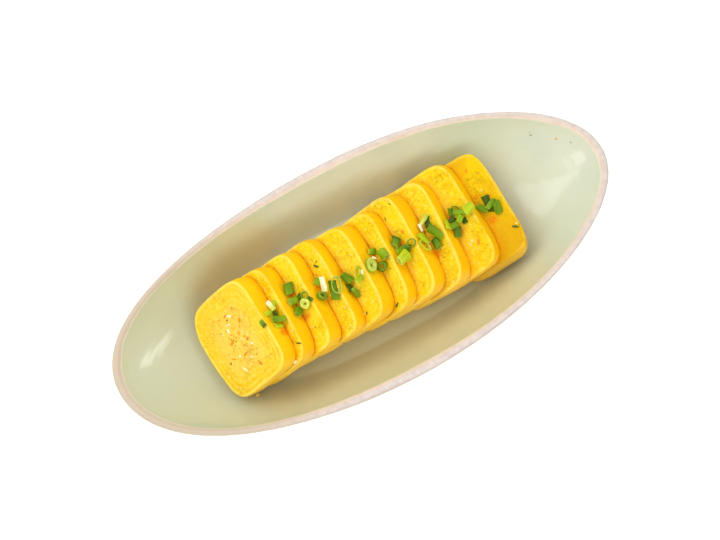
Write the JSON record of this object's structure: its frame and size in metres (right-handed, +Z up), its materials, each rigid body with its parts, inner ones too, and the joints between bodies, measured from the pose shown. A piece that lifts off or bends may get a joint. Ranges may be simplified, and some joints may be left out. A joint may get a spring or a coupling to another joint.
{
  "type": "rolled omelette in an oval dish",
  "caption": "Rolled omelette cut in leaning slices with chopped spring onion, served in a long oval glazed dish with a bare clay lip.",
  "frame": {"origin": "centre of the whole object's box in plan, on the surface that the dish stands on", "axes": "+X along the dish's long axis, towards the flattest slice; +Z up; the first slice's whole cut face looks towards -X and up"},
  "size_m": [0.3134, 0.1364, 0.0564],
  "materials": {
    "glaze": "pale celadon glaze, glossy, with a bare pinkish clay lip",
    "egg": "moist cooked egg, smooth skin, fine pores in the cut faces",
    "spring_onion": "fresh chopped spring onion, waxy green, pale cut edges"
  },
  "bodies": {
    "root": {"dish": "glaze", "slice_01": "egg", "slice_02": "egg", "slice_03": "egg", "slice_04": "egg", "slice_05": "egg", "slice_06": "egg", "slice_07": "egg", "slice_08": "egg", "slice_09": "egg", "slice_10": "egg", "onion_01": "spring_onion", "onion_02": "spring_onion", "onion_03": "spring_onion", "onion_04": "spring_onion", "onion_05": "spring_onion", "onion_06": "spring_onion", "onion_07": "spring_onion", "onion_08": "spring_onion", "onion_09": "spring_onion", "onion_10": "spring_onion", "onion_11": "spring_onion", "onion_12": "spring_onion", "onion_13": "spring_onion", "onion_14": "spring_onion", "onion_15": "spring_onion", "onion_16": "spring_onion", "onion_17": "spring_onion", "onion_18": "spring_onion", "onion_19": "spring_onion", "onion_20": "spring_onion", "onion_21": "spring_onion", "onion_22": "spring_onion", "onion_23": "spring_onion", "onion_24": "spring_onion", "onion_25": "spring_onion", "onion_26": "spring_onion", "onion_27": "spring_onion", "onion_28": "spring_onion", "onion_29": "spring_onion", "onion_30": "spring_onion", "onion_31": "spring_onion"}
  },
  "joints": []
}
